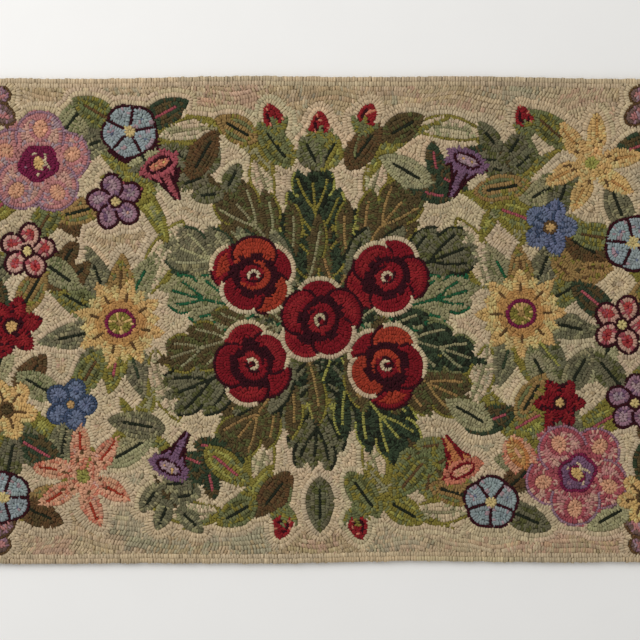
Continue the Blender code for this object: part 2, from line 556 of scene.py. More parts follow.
def laySides():
    # A sun flower to the left and one to the right, on grey-green leaves
    for flower, out in ((Place(-250, -4, 8), -1), (Place(252, 8, 24), 1)):
        for slant, length, look, vein in (
            (62, 106, "greyLeaf", "blackGreen"), (-58, 106, "mottledLeaf", "lime"),
            (112, 98, "sageLeaf", "emerald"), (-112, 98, "greyLeaf", "bottleGreen"),
            (24, 108, "oliveLeaf", "blackGreen"), (-18, 106, "greyLeaf", "blackGreen"),
            (88, 88, "tanLeaf", "umber"), (-86, 90, "limeLeaf", "rosePink"),
        ):
            angle = slant if out > 0 else 180 - slant
            hookLeaf(Place(flower.x, flower.y, angle), length, 36, looks[look], vein, 0.08 * out)
        hookSunFlower(flower, 58)


def layBlades():
    # Faint leaves on the open ground, and long curved blades that tie the sprays together
    # x, y, length, width, turn, bend
    for x, y, length, width, turn, bend in (
        (-212, 34, 96, 36, 80, -0.25), (-206, -36, 92, 34, -86, 0.25), (208, 38, 94, 36, 98, 0.25),
        (210, -30, 96, 34, -96, -0.25), (-116, 238, 88, 30, 172, 0.25), (118, 240, 88, 30, 8, -0.25),
        (-118, -240, 88, 30, -170, -0.25), (112, -236, 80, 30, -14, 0.25), (-60, -146, 70, 32, -120, 0.3),
        (-60, 150, 66, 32, 122, -0.3), (58, 150, 66, 32, 58, 0.3), (56, -150, 66, 32, -58, -0.3),
    ):
        hookFaintLeaf(Place(x, y, turn), length, width, bend)
    # x, y, length, width, turn, bend, look
    for x, y, length, width, turn, bend, look in (
        (-424, 30, 150, 26, 66, -0.5, "paleBlade"),
        (-190, 92, 150, 24, 106, 0.4, "limeLeaf"),
        (-206, -84, 172, 28, -108, -0.55, "paleBlade"),
        (-416, -60, 160, 24, -60, 0.42, "limeLeaf"),
        (200, 96, 160, 24, 72, -0.45, "limeLeaf"),
        (424, 20, 150, 24, 112, 0.45, "paleBlade"),
        (210, -84, 172, 28, -70, 0.55, "paleBlade"),
        (420, -40, 160, 24, -118, -0.42, "limeLeaf"),
        (-58, 178, 112, 22, 108, 0.75, "paleBlade"),
        (62, 178, 108, 20, 72, -0.75, "limeLeaf"),
        (-62, -178, 112, 22, -106, -0.75, "limeLeaf"),
        (60, -178, 112, 22, -74, 0.75, "paleBlade"),
        (-250, -96, 130, 20, -66, 0.5, "limeLeaf"),
        (258, 92, 120, 20, 116, 0.5, "paleBlade"),
    ):
        Place(x, y, turn).area(looks[look], leafOutline(length, width, 0.4, 0.9, bend))


def laySprays():
    # Small leafy stems in the places between the flowers
    # x, y, length, turn, bend, look, vein
    for x, y, length, turn, bend, look, vein in (
        (-112, 146, 62, 116, 0.3, "mottledLeaf", "blackGreen"),
        (116, 148, 62, 60, -0.3, "darkLeaf", "rosePink"),
        (-110, -148, 64, -118, -0.3, "darkLeaf", "rosePink"),
        (110, -148, 62, -62, 0.3, "oliveLeaf", "umber"),
        (-316, 34, 44, 96, 0.3, "umberLeaf", "blackGreen"),
        (318, 42, 34, 84, -0.3, "tanLeaf", "umber"),
        (-206, -196, 46, -66, 0.2, "greyLeaf", "blackGreen"),
        (240, 176, 36, 96, 0.3, "mottledLeaf", "blackGreen"),
    ):
        hookSpray(Place(x, y, turn), length, bend, looks[look], vein)


def layEnds():
    # Rose buds above and below the middle, and scrolls in the corners
    for x, y, length, turn, look in (
        (-34, 190, 72, 126, "oliveLeaf"), (34, 188, 72, 54, "umberLeaf"),
        (-36, -190, 72, -128, "umberLeaf"), (34, -190, 72, -54, "oliveLeaf"),
        (0, -196, 70, -90, "mottledLeaf"), (-78, 224, 60, 150, "tanLeaf"),
        (80, -224, 60, -30, "limeLeaf"), (-78, -226, 60, -150, "oliveLeaf"),
        (78, 226, 60, 30, "brownLeaf"), (0, 188, 48, 62, "limeLeaf"), (0, 188, 48, 118, "mottledLeaf"),
    ):
        hookLeaf(Place(x, y, turn), length, 36, looks[look], "blackGreen", blunt=0.7)
    for x, y, turn in ((0, 220, 90), (-50, 232, 112), (50, 232, 68), (-40, -234, -106), (42, -234, -76)):
        hookBud(Place(x, y, turn), 42, 0.6)
    for x, y, turn in ((-424, 276, -35), (424, 276, -145), (-424, -276, 35), (424, -276, 145)):
        hookCornerLeaf(Place(x, y, turn), 52)


# Each garden flower by its name: how it is hooked, and in which looks and wools
flowers = dict(
    pinkPeony=(hookPeony, looks["palePink"], ("magenta", "mauve")),
    rosePeony=(hookPeony, looks["rosePetal"], ("purple", "mauve", "lilac")),
    paleGlory=(hookGlory, looks["paleBluePetal"]),
    purpleFlower=(hookRoundFlower, looks["purplePetal"], "maroon", "paleYellow"),
    pinkFlower=(hookRoundFlower, looks["pinkPetal"], "maroon", "paleYellow"),
    blueFlower=(hookRoundFlower, looks["bluePetal"], None, "gold", 5, "deepBlue"),
    deepBlueFlower=(hookRoundFlower, looks["bluePetal"], "deepBlue", "gold"),
    yellowFlower=(hookRoundFlower, looks["yellowPetal"], None, "brownOlive", 6, "umber"),
    yellowLily=(hookLily, looks["yellowPetal"], "amber"),
    coralLily=(hookLily, looks["coralPetal"], "brick"),
    redStar=(hookStar, looks["redPetal"]),
    roseBell=(hookBell, ("rosePink", "roseRed"), ("rosePink", "pink", "coral"), "maroon"),
    purpleBell=(hookBell, ("purple", "mauve"), ("purple", "mauve", "lilac"), "maroon"),
    orangeBell=(hookBell, ("orange", "coral"), ("coral", "peach"), "crimson"),
    orangeTulip=(hookTulip, looks["orangePetal"], looks["coralPetal"]),
    redBud=(hookBud,),
)

# kind, x, y, size, turn, angles of the leaves behind it
garden = (
    ("pinkPeony", -352, 196, 66, 15, (-62, -132, 20, 52)),
    ("paleGlory", -238, 236, 37, 10, (150, 28, -62)),
    ("purpleFlower", -256, 148, 36, 30, (-165, 40)),
    ("roseBell", -178, 152, 60, 118, (60, 165)),
    ("redBud", -424, 104, 40, 78, ()),
    ("pinkFlower", -366, 86, 36, 10, (-148, -35, 60)),
    ("redStar", -386, -8, 41, 12, (118, -108, 60)),
    ("yellowFlower", -392, -112, 40, 50, (-60, 55, -120)),
    ("deepBlueFlower", -312, -106, 33, 0, (-100, 150, 60)),
    ("coralLily", -296, -196, 66, -20, (150, 30, -150)),
    ("paleGlory", -396, -222, 36, 0, (80, -24)),
    ("purpleBell", -166, -142, 60, -118, (-40, 170)),
    ("yellowLily", 340, 196, 64, 15, (-150, 140, 20)),
    ("purpleBell", 164, 154, 62, 66, (150, 10)),
    ("blueFlower", 288, 116, 35, 0, (70, -30, 160)),
    ("paleGlory", 392, 96, 38, 30, (112, -50, 170)),
    ("pinkFlower", 378, -6, 38, 0, (140, -120, 52)),
    ("purpleFlower", 394, -104, 37, 15, (130, -60, -150)),
    ("rosePeony", 322, -192, 66, 50, (100, 170, -34)),
    ("yellowFlower", 404, -222, 33, 10, (84, -150)),
    ("paleGlory", 214, -228, 36, -20, (165, -24, 40)),
    ("redStar", 300, -104, 34, 0, (-150, 60, 120)),
    ("orangeBell", 156, -146, 60, -62, (-130, 20)),
    ("orangeTulip", 236, -146, 48, -60, (150, 60)),
    ("redBud", 420, 176, 40, 74, ()),
    ("redBud", 262, 232, 38, 108, ()),
)

# The single leaves of the garden: length behind a flower of this size, width, where they start,
# and their looks and veins in turn
leaves = dict(
    length=66, behind=36, grow=0.35, width=35, start=0.45,
    kinds=(
        ("umberLeaf", "blackGreen"), ("limeLeaf", "rosePink"), ("greyLeaf", "blackGreen"),
        ("sageLeaf", "blackGreen"), ("oliveLeaf", "umber"), ("darkLeaf", "rosePink"),
        ("paleLeaf", "blackGreen"), ("tanLeaf", "blackGreen"), ("mottledLeaf", "blackGreen"),
    ),
)


def layGarden():
    # Flowers round the middle, each on a few single leaves
    kinds = itertools.cycle(leaves["kinds"])
    for _, x, y, size, _, angles in garden:
        for angle in angles:
            look, vein = next(kinds)
            root = Place(x, y, angle).moved(leaves["start"] * size)
            reach = leaves["length"] + leaves["grow"] * (size - leaves["behind"])
            hookLeaf(root, reach, leaves["width"], looks[look], vein, blunt=0.7)
    for kind, x, y, size, turn, _ in garden:
        shape, *details = flowers[kind]
        shape(Place(x, y, turn), size, *details)


for lay in (layBlades, layCentre, laySides, laySprays, layEnds, layGarden):
    lay()
print("pattern drawn:", len(pattern.looks), "areas and lines")


# Distances on the drawing

# A grid over itself, moved by one line or one column
neighbours = (np.s_[1:], np.s_[:-1]), (np.s_[:, 1:], np.s_[:, :-1])


def overlap(size, by):
    # What a side of the grid shares with its copy that is moved by some cells
    return slice(max(by, 0), size + min(by, 0)), slice(max(-by, 0), size + min(-by, 0))


def nearestTo(marked, reach):
    # Distance in cells from every spot to the nearest marked one, up to the reach, and its place
    lines, columns = marked.shape
    gridY, gridX = np.mgrid[0:lines, 0:columns].astype(np.float32)
    nearX, nearY = gridX.copy(), gridY.copy()
    best = np.where(marked, 0, 1e9).astype(np.float32)
    step = reach  # a power of two, halved on every turn
    while step >= 1:
        for downBy, leftBy in itertools.product((-step, 0, step), repeat=2):
            if downBy == 0 and leftBy == 0:
                continue
            here, there = zip(overlap(lines, downBy), overlap(columns, leftBy))
            away = (gridX[here] - nearX[there]) ** 2 + (gridY[here] - nearY[there]) ** 2
            better = (best[there] < 1e8) & (away < best[here])
            np.copyto(best[here], away, where=better)
            np.copyto(nearX[here], nearX[there], where=better)
            np.copyto(nearY[here], nearY[there], where=better)
        step //= 2
    return np.sqrt(best), nearY.astype(int), nearX.astype(int)


def closeSlivers(spots):
    # Ground too narrow for a row, and islands far from open ground, go to the nearest motif
    ground = spots == 1
    deep = nearestTo(~ground, 8)[0] * rug["cell"] > rug["sliver"]
    kept = nearestTo(deep, 8)[0] * rug["cell"] < rug["sliver"] + rug["slack"]
    _, nearY, nearX = nearestTo(spots > 1, 16)
    reached = kept & (nearestTo(~kept, 16)[0] * rug["cell"] > rug["openGround"])
    for turn in range(rug["reachTurns"]):
        grown = reached.copy()
        for first, second in neighbours:
            grown[first] |= reached[second]
            grown[second] |= reached[first]
        reached = grown & kept
    sliver = ground & ~reached
    spots[sliver] = spots[nearY[sliver], nearX[sliver]]


def edgeDistance(spots):
    # Millimetres from each spot to the outline of its own area
    edge = np.zeros(spots.shape, bool)
    for first, second in neighbours:
        differs = spots[first] != spots[second]
        edge[first] |= differs
        edge[second] |= differs
    away = nearestTo(edge, 64)[0] * rug["cell"]
    soft = away.copy()  # a small blur takes the grid's steps out of the rows
    soft[1:-1, 1:-1] = (
        4 * away[1:-1, 1:-1] + 2 * (away[:-2, 1:-1] + away[2:, 1:-1] + away[1:-1, :-2] + away[1:-1, 2:])
        + away[:-2, :-2] + away[:-2, 2:] + away[2:, :-2] + away[2:, 2:]
    ) / 16
    return soft


# How a contour crosses a cell, by which of its corners are high: from one side to another, with
# 0 the lower side, 1 the right, 2 the upper and 3 the left
cellSides = {
    1: [(3, 0)], 2: [(0, 1)], 3: [(3, 1)], 4: [(1, 2)], 5: [(3, 0), (1, 2)], 6: [(0, 2)], 7: [(3, 2)],
    8: [(2, 3)], 9: [(2, 0)], 10: [(0, 1), (2, 3)], 11: [(2, 1)], 12: [(1, 3)], 13: [(1, 0)], 14: [(0, 3)],
}


def contourLines(height, level):
    # Closed lines of equal height through the grid, as lists of points in millimetres
    above = height > level
    code = above[:-1, :-1] * 1 + above[:-1, 1:] * 2 + above[1:, 1:] * 4 + above[1:, :-1] * 8
    rows, columns = np.nonzero((code > 0) & (code < 15))
    links, spotOf = {}, {}

    def crossing(row, column, side):
        firstRow, firstColumn = row + (side == 2), column + (side == 1)
        upright = side in (1, 3)
        key = (firstRow, firstColumn, upright)
        if key not in spotOf:
            nextRow, nextColumn = firstRow + upright, firstColumn + (not upright)
            first, second = height[firstRow, firstColumn], height[nextRow, nextColumn]
            share = (level - first) / (second - first) if second != first else 0.5
            spotOf[key] = (firstColumn + share * (not upright), firstRow + share * upright)
        return key

    for row, column, kind in zip(rows.tolist(), columns.tolist(), code[rows, columns].tolist()):
        for start, end in cellSides[kind]:
            first, second = crossing(row, column, start), crossing(row, column, end)
            links.setdefault(first, []).append(second)
            links.setdefault(second, []).append(first)
    lines = []
    while links:
        chain = [next(iter(links))]
        while links.get(chain[-1]):
            here, others = chain[-1], links[chain[-1]]
            chain.append(others.pop())
            if chain[-1] in links and here in links[chain[-1]]:
                links[chain[-1]].remove(here)
            for key in (here, chain[-1]):
                if key in links and not links[key]:
                    del links[key]
        lines.append(np.array([spotOf[key] for key in chain]))
    origin = pattern.origin + 0.5 * rug["cell"]
    return [line * rug["cell"] + origin for line in lines if len(line) > 3]


# Where each loop goes

# First number of the rows round the motifs, of the open ground and of the extra loops
firstRun = dict(motifs=1000, ground=50000, gaps=90000)


def evenSpots(points, step):
    # Places at an even step along a line, each with the line's direction there
    gaps = np.hypot(*np.diff(points, axis=0).T)
    along = np.concatenate([[0], np.cumsum(gaps)])
    if along[-1] < 0.8 * step:  # too short for two: one loop on its middle
        way = points[-1] - points[0]
        return points[len(points) // 2][None, :], np.array([math.atan2(way[1], way[0])])
    count = max(round(along[-1] / step), 1)
    want = (np.arange(count) + 0.5) * along[-1] / count
    ahead, behind = np.minimum(want + 0.7 * step, along[-1]), np.maximum(want - 0.7 * step, 0)
    spots, ends, starts = (
        [np.interp(where, along, points[:, axis]) for axis in (0, 1)] for where in (want, ahead, behind)
    )
    return np.column_stack(spots), np.arctan2(ends[1] - starts[1], ends[0] - starts[0])


class Loops:
    # Every hooked loop: its place, the direction of its row, its width across the row and its step

    def __init__(self):
        self.rows = []
        self.buckets = {}
        self.bucket = 4.0  # wide enough that only the next buckets can crowd a place

    def crowded(self, x, y):
        column, line = int(x // self.bucket), int(y // self.bucket)
        for near in itertools.product(range(column - 1, column + 2), range(line - 1, line + 2)):
            for otherX, otherY, cosine, sine, width, step in self.buckets.get(near, ()):
                offX, offY = x - otherX, y - otherY
                along = (offX * cosine + offY * sine) / (rug["closeAlong"] * step)
                across = (offY * cosine - offX * sine) / (rug["closeAcross"] * width)
                if along * along + across * across < 1:
                    return True
        return False

    def add(self, places, ways, width, step, run):
        # Loops for all places that aren't taken, and how many these are
        before = len(self.rows)
        for (x, y), way in zip(places.tolist(), ways.tolist()):
            if not self.crowded(x, y):
                key = (int(x // self.bucket), int(y // self.bucket))
                item = (x, y, math.cos(way), math.sin(way), width, step)
                self.buckets.setdefault(key, []).append(item)
                self.rows.append((x, y, way, width, step, run))
        return len(self.rows) - before


def hookLines(loops):
    # Veins, rings and dashes: one row of loops along each drawn line, where nothing lies over it
    for run, (number, points, width) in enumerate(pattern.lines):
        places, ways = evenSpots(points, rug["lineStep"])
        seen = pattern.spots[pattern.at(*places.T)] == number
        loops.add(places[seen], ways[seen], width, rug["lineStep"], run)


def hookRows(loops, away, wanted, spacing, step, deepest, run):
    # Rows that follow the outline of every wanted area, from the outside inwards
    height = np.where(wanted, away, 0.0)
    for depth in range(deepest):
        for line in contourLines(height, (depth + 0.5) * spacing):
            run += 1
            loops.add(*evenSpots(line, step), spacing, step, run)
    return run


# The field of rows that is laid under the open ground: half sizes, and pieces of a row in one strip
weave = dict(halfX=470, halfY=315, strip=60, strips=40)


def groundWeave(away):
    # The open ground: rows that run from end to end, with loops that line up in wavy columns
    step, spacing = rug["groundStep"], rug["groundRow"]
    halfX, halfY = weave["halfX"], weave["halfY"]
    across, up = np.meshgrid(np.arange(-halfX, halfX, step), np.arange(-halfY, halfY, spacing))
    drift = 14 * np.sin(up / 61 + across / 170) + 9 * np.sin(across / 93 - up / 47 + 1.3)
    ripple = 2.6 * np.sin(up / 6.1 + across / 37 + 0.8 * np.sin(across / 21))
    x = across + drift + ripple
    y = up + 9 * np.sin(across / 74 + 0.6) + 4.5 * np.sin(across / 31 - up / 58) + 2 * np.sin(across / 13)
    ways = np.arctan2(np.gradient(y, axis=0), np.gradient(x, axis=0)) - math.pi / 2
    spot = pattern.at(x, y)
    inside = (pattern.spots[spot] == 1) & (away[spot] > (rug["echoRows"] + 0.36) * spacing)
    strips = (up // spacing).astype(int) * weave["strips"] + (across // weave["strip"]).astype(int)
    return np.column_stack([x[inside], y[inside]]), ways[inside], firstRun["ground"] + strips[inside]


# Extra loops: reach in cells, shares that a loop covers, bare cells that need one, and its size
gaps = dict(reach=6, along=0.52, across=0.5, bare=2.1, open=15, grow=2.4, least=0.9, most=4.6, mostStep=3.0)


def fillGaps(loops, away):
    # Small extra loops where the rows leave a bare spot
    table = np.array(loops.rows)
    covered = pattern.spots == 0
    cosine, sine = np.cos(table[:, 2]), np.sin(table[:, 2])
    line, column = pattern.at(table[:, 0], table[:, 1])
    for downBy, leftBy in itertools.product(range(-gaps["reach"], gaps["reach"] + 1), repeat=2):
        offX, offY = leftBy * rug["cell"], downBy * rug["cell"]
        along = (offX * cosine + offY * sine) / (gaps["along"] * table[:, 4])
        across = (offY * cosine - offX * sine) / (gaps["across"] * table[:, 3])
        near = along**2 + across**2 < 1
        covered[np.clip(line[near] + downBy, 0, covered.shape[0] - 1),
                np.clip(column[near] + leftBy, 0, covered.shape[1] - 1)] = True
    bare = nearestTo(covered, 8)[0]
    slopeY, slopeX = np.gradient(away)
    lines, columns = np.nonzero(bare > gaps["bare"])
    order = np.argsort(-bare[lines, columns], kind="stable")
    added = 0
    for spot in zip(lines[order], columns[order]):
        way = math.atan2(slopeY[spot], slopeX[spot]) + math.pi / 2
        if away[spot] > gaps["open"] and pattern.spots[spot] == 1:
            way = 0.0
        size = min(gaps["grow"] * bare[spot] * rug["cell"] + gaps["least"], gaps["most"])
        place = np.array([[pattern.gridX[spot[1]], pattern.gridY[spot[0]]]])
        step = min(size, gaps["mostStep"])
        added += loops.add(place, np.array([way]), size, step, firstRun["gaps"] + added)
    return added


def hookEverything():
    closeSlivers(pattern.spots)
    away = edgeDistance(pattern.spots)
    isLine = np.array([bool(look and look.get("line")) for look in pattern.looks])
    motif = (pattern.spots > 1) & ~isLine[pattern.spots]
    ground = pattern.spots == 1
    groundSize, motifSize = (rug["groundRow"], rug["groundStep"]), (rug["motifRow"], rug["motifStep"])
    loops = Loops()
    hookLines(loops)
    run = hookRows(loops, away, motif, *motifSize, rug["motifRows"], firstRun["motifs"])
    hookRows(loops, away, ground, *groundSize, rug["echoRows"], run)
    places, ways, runs = groundWeave(away)
    for number in np.unique(runs):
        chosen = runs == number
        loops.add(places[chosen], ways[chosen], *groundSize, number)
    added = fillGaps(loops, away)
    print("hooked:", len(loops.rows), "loops, of which", added, "fill gaps")
    return np.array(loops.rows), away


# Which wool each loop is

# How unevenly the wools are dyed: shares of the brightness, loops on a strip, and the flecks' patches
dye = dict(strip=0.05, loop=0.1, broad=0.05, tint=0.02, stripLength=38, fleckPatch=6.5, fleckLoop=1.0)

woolNames = list(wools)


def noise(x, y, size, seed):
    # Smooth random values between -1 and 1, with patches of about this size
    grid = np.random.default_rng(seed).uniform(-1, 1, (64, 64))
    left, low = np.floor(x / size).astype(int), np.floor(y / size).astype(int)
    shareX, shareY = x / size - left, y / size - low
    shareX, shareY = shareX**2 * (3 - 2 * shareX), shareY**2 * (3 - 2 * shareY)
    bottom, top = (
        grid[line % 64, left % 64] * (1 - shareX) + grid[line % 64, (left + 1) % 64] * shareX
        for line in (low, low + 1)
    )
    return bottom * (1 - shareY) + top * shareY


def groundWools(x, y, spread):
    # The open ground changes from strip to strip and slowly over the rug
    warm = noise(x, y, 84, 5) + 0.5 * noise(x, y, 23, 6) + 0.35 * spread
    light = noise(x, y, 110, 7) + 0.4 * noise(x, y, 31, 8) + 0.45 * spread[::-1]
    names = np.full(len(x), woolNames.index("beige"))
    for chosen, wool in (
        (warm > 0.5, "rosyBeige"), (warm < -0.5, "greyBeige"),
        (light < -0.42, "sand"), (light > 0.62, "cream"),
    ):
        names[chosen] = woolNames.index(wool)
    return names


def woolColours(x, y, away, spread):
    # Linear colour of the wool at each place: the area's rows from the outline inwards, its heart, its flecks
    spot = pattern.at(x, y)
    numbers = np.maximum(pattern.spots[spot], 1)
    deep = away[spot]
    patch = noise(x, y, dye["fleckPatch"], 9) + dye["fleckLoop"] * spread
    names = np.zeros(len(x), int)
    for number in np.unique(numbers):
        chosen = np.nonzero(numbers == number)[0]
        look = pattern.looks[number]
        spacing = rug["groundRow"] if number == 1 else rug["motifRow"]
        depth = np.minimum((deep[chosen] / spacing).astype(int), len(look["rows"]) - 1)
        names[chosen] = np.array([woolNames.index(wool) for wool in look["rows"]])[depth]
        if number == 1:
            inner = chosen[deep[chosen] > rug["echoRows"] * spacing]
            names[inner] = groundWools(x[inner], y[inner], spread[inner])
        if "fleck" in look:
            wool, share = look["fleck"]
            flecked = patch[chosen] > np.quantile(patch[chosen], 1 - share)
            names[chosen[flecked]] = woolNames.index(wool)
        if "heart" in look:
            heartX, heartY, radius, wool = look["heart"]
            reach = radius * (1 + 0.12 * noise(x[chosen], y[chosen], 9, 10))
            inside = np.hypot(x[chosen] - heartX, y[chosen] - heartY) < reach
            names[chosen[inside]] = woolNames.index(wool)
    return linearLight([wools[woolNames[index]] for index in names])


def linearLight(colours):
    # sRGB numbers up to 255 as the linear light that a shader reads
    share = np.asarray(colours, float) / 255
    return np.where(share <= 0.04045, share / 12.92, ((share + 0.055) / 1.055) ** 2.4)


def dyeLoops(table, away):
    # Linear colour of every loop, with the small changes of hand-dyed strips
    chance = np.random.default_rng(rug["seed"])
    x, y, runs = table[:, 0], table[:, 1], table[:, 5]
    colours = woolColours(x, y, away, chance.uniform(-1, 1, len(table)))
    _, first, which = np.unique(runs, return_index=True, return_inverse=True)
    strip = which * 100 + (np.arange(len(table)) - first[which]) // dye["stripLength"] % 100
    _, strip = np.unique(strip, return_inverse=True)
    shade = 1 + dye["strip"] * chance.normal(size=strip.max() + 1)[strip]
    shade += dye["loop"] * chance.normal(size=len(table)) + dye["broad"] * noise(x, y, 130, 12)
    tint = 1 + dye["tint"] * chance.normal(size=(strip.max() + 1, 3))[strip]
    return np.clip(colours * shade[:, None] * tint, 0, 1)


loopTable, edgeAway = hookEverything()
loopColours = dyeLoops(loopTable, edgeAway)


# Building


def meshOf(name, build):
    # Ends a build as a mesh, with its large faces cut into triangles
    bmesh.ops.triangulate(build, faces=[face for face in build.faces if len(face.verts) > 4])
    mesh = bpy.data.meshes.new(name)
    build.to_mesh(mesh)
    build.free()
    return mesh


def show(name, data, at=(0, 0, 0), turn=(0, 0, 0)):
    # Sets a mesh, a light or a camera in the scene
    thing = bpy.data.objects.new(name, data)
    thing.location = at
    thing.rotation_euler = turn
    bpy.context.scene.collection.objects.link(thing)
    return thing


def lift(build, items, height):
    # Moves the points among the items up or down
    points = [item for item in items if isinstance(item, bmesh.types.BMVert)]
    bmesh.ops.translate(build, verts=points, vec=(0, 0, height))


def cubeOnFloor():
    build = bmesh.new()
    bmesh.ops.create_cube(build, size=1.0)
    lift(build, build.verts, 0.5)
    return build


def setColours(mesh, colours):
    layer = mesh.attributes.new("woolColour", "FLOAT_COLOR", "POINT")
    layer.data.foreach_set("color", np.column_stack([colours, np.ones(len(colours))]).ravel())


def flatMap(mesh):
    # A map of the piece seen from above; what faces down goes to a narrow strip at its side
    corner = readAll(mesh.loops, "vertex_index", kind=np.int32)
    places = readAll(mesh.vertices, "co", 3)[:, :2]
    low, high = places.min(axis=0), places.max(axis=0)
    spots = ((places - low) / (high - low))[corner]
    facesDown = readAll(mesh.polygons, "normal", 3)[:, 2] < -0.3
    under = np.repeat(facesDown, readAll(mesh.polygons, "loop_total", kind=np.int32))
    spots[:, 0] = np.where(under, 0.985 + 0.014 * spots[:, 0], 0.98 * spots[:, 0])
    mesh.uv_layers.new(name="OFBake").uv.foreach_set("vector", spots.ravel())


def copyingNodes(shape):
    # Geometry nodes that set a copy of the shape on every point and make all copies one mesh
    tree = bpy.data.node_groups.new("copyShape", "GeometryNodeTree")
    for way in ("INPUT", "OUTPUT"):
        tree.interface.new_socket("Geometry", in_out=way, socket_type="NodeSocketGeometry")
    add, link = tree.nodes.new, tree.links.new
    start, end = add("NodeGroupInput"), add("NodeGroupOutput")
    info = add("GeometryNodeObjectInfo")
    info.inputs["Object"].default_value = shape
    setOn, join = add("GeometryNodeInstanceOnPoints"), add("GeometryNodeRealizeInstances")
    turn = add("FunctionNodeEulerToRotation")
    for name, target in (("loopTurn", turn.inputs[0]), ("loopSize", setOn.inputs["Scale"])):
        named = add("GeometryNodeInputNamedAttribute")
        named.data_type = "FLOAT_VECTOR"
        named.inputs["Name"].default_value = name
        link(named.outputs["Attribute"], target)
    link(start.outputs[0], setOn.inputs["Points"])
    link(info.outputs["Geometry"], setOn.inputs["Instance"])
    link(turn.outputs[0], setOn.inputs["Rotation"])
    link(setOn.outputs[0], join.inputs[0])
    link(join.outputs[0], end.inputs[0])
    return tree


def manyCopies(name, shape, places, turns, sizes, colours, material):
    # One piece made of a copy of the shape on each place, in millimetres and radians
    points = bpy.data.meshes.new(name + "Points")
    points.vertices.add(len(places))
    points.vertices.foreach_set("co", (places * mm).ravel())
    for label, values in (("loopTurn", turns), ("loopSize", sizes * mm)):
        layer = points.attributes.new(label, "FLOAT_VECTOR", "POINT")
        layer.data.foreach_set("vector", values.ravel())
    setColours(points, colours)
    model, holder = bpy.data.objects.new("shape", shape), show(name + "Points", points)
    holder.modifiers.new("copies", "NODES").node_group = copyingNodes(model)
    mesh = bpy.data.meshes.new_from_object(holder.evaluated_get(bpy.context.evaluated_depsgraph_get()))
    bpy.data.objects.remove(holder)
    bpy.data.objects.remove(model)
    for label in ("loopTurn", "loopSize"):
        if label in mesh.attributes:
            mesh.attributes.remove(mesh.attributes[label])
    mesh.name = name
    mesh.materials.clear()
    mesh.materials.append(material)
    mesh.shade_smooth()
    flatMap(mesh)
    print("piece", name, len(places), "copies,", len(mesh.polygons), "faces")
    return show(name, mesh)


# Shader maths


class Shade:
    # A socket that works in sums: each operator adds its Math node

    def __init__(self, tree, socket=None):
        self.tree = tree
        self.socket = socket

    def make(self, kind, inputs=None, output=0, **settings):
        # Any node: its settings first, then the values or links of its sockets
        made = self.tree.nodes.new(kind)
        for name, value in settings.items():
            setattr(made, name, value)
        for name, value in (inputs or {}).items():
            if isinstance(value, Shade):
                self.tree.links.new(value.socket, made.inputs[name])
            else:
                made.inputs[name].default_value = value
        return Shade(self.tree, made.outputs[output])

    def maths(self, operation, first, second):
        return self.make("ShaderNodeMath", {0: first, 1: second}, operation=operation)

    def __add__(self, other):
        return self.maths("ADD", self, other)

    def __mul__(self, other):
        return self.maths("MULTIPLY", self, other)

    __radd__, __rmul__ = __add__, __mul__

    def scaled(self, share):
        # A colour or vector made brighter or darker
        return self.make("ShaderNodeVectorMath", {0: self, "Scale": share}, operation="SCALE")

    def between(self, low, high, newLow, newHigh):
        values = {"Value": self, "From Min": low, "From Max": high, "To Min": newLow, "To Max": newHigh}
        return self.make("ShaderNodeMapRange", values)


def newMaterial(name, fixed):
    # A material with its shader's fixed values, and the place in the piece to start sums from
    material = bpy.data.materials.new(name)
    material.use_nodes = True
    shader = material.node_tree.nodes["Principled BSDF"]
    for label, value in fixed.items():
        shader.inputs[label].default_value = value
    return material, shader, Shade(material.node_tree).make("ShaderNodeTexCoord", output="Object")


def feed(shader, label, value):
    value.tree.links.new(value.socket, shader.inputs[label])


def feedBump(shader, height, strength, distance):
    nap = {"Height": height, "Strength": strength, "Distance": distance}
    feed(shader, "Normal", height.make("ShaderNodeBump", nap))


def grain(place, scale, detail):
    return place.make("ShaderNodeTexNoise", {"Vector": place, "Scale": scale, "Detail": detail})


def makeWool(name, paintedRootShade):
    # Cut strips of wool cloth: fuzzy, a little heathered, and darker towards the foot of each loop by painted
    # shade
    fixed = {"Roughness": 0.93, "Sheen Weight": 0.06, "Sheen Roughness": 0.5, "Specular IOR Level": 0.12}
    material, shader, place = newMaterial(name, fixed)
    colour = place.make("ShaderNodeAttribute", attribute_name="woolColour")
    height = place.make("ShaderNodeSeparateXYZ", {0: place}, output="Z")
    # Painted shade: the colour goes from the given share at 2 mm up to full at 6 mm above the floor
    paintedShade = height.between(0.002, 0.006, paintedRootShade, 1.0)
    fibre, felt = grain(place, 1100, 3.0), grain(place, 330, 2.0)
    tone = (fibre * 0.42 + 0.79) * (felt * 0.2 + 0.9) * paintedShade
    feed(shader, "Base Color", colour.scaled(tone))
    feedBump(shader, fibre + felt * 0.6, 0.35, 0.0005)
    return material


# Meshes of the pile

# Painted shade darkens the loops to 0.6 of their colour near the cloth
wool = makeWool("hookedWool", 0.6)

# One loop of folded wool: half sizes as shares of the loop's step, width and height
loopForm = dict(base=(0.56, 0.6), shoulder=(0.5, 0.57), shoulderHeight=0.74, ridge=0.42)

# How the loops stand: millimetres, degrees and shares
stand = dict(foot=1.7, lean=5, twist=8, width=0.1, height=0.07, swell=0.35, small=0.86, grow=0.03,
             largest=11800)  # most loops in one piece


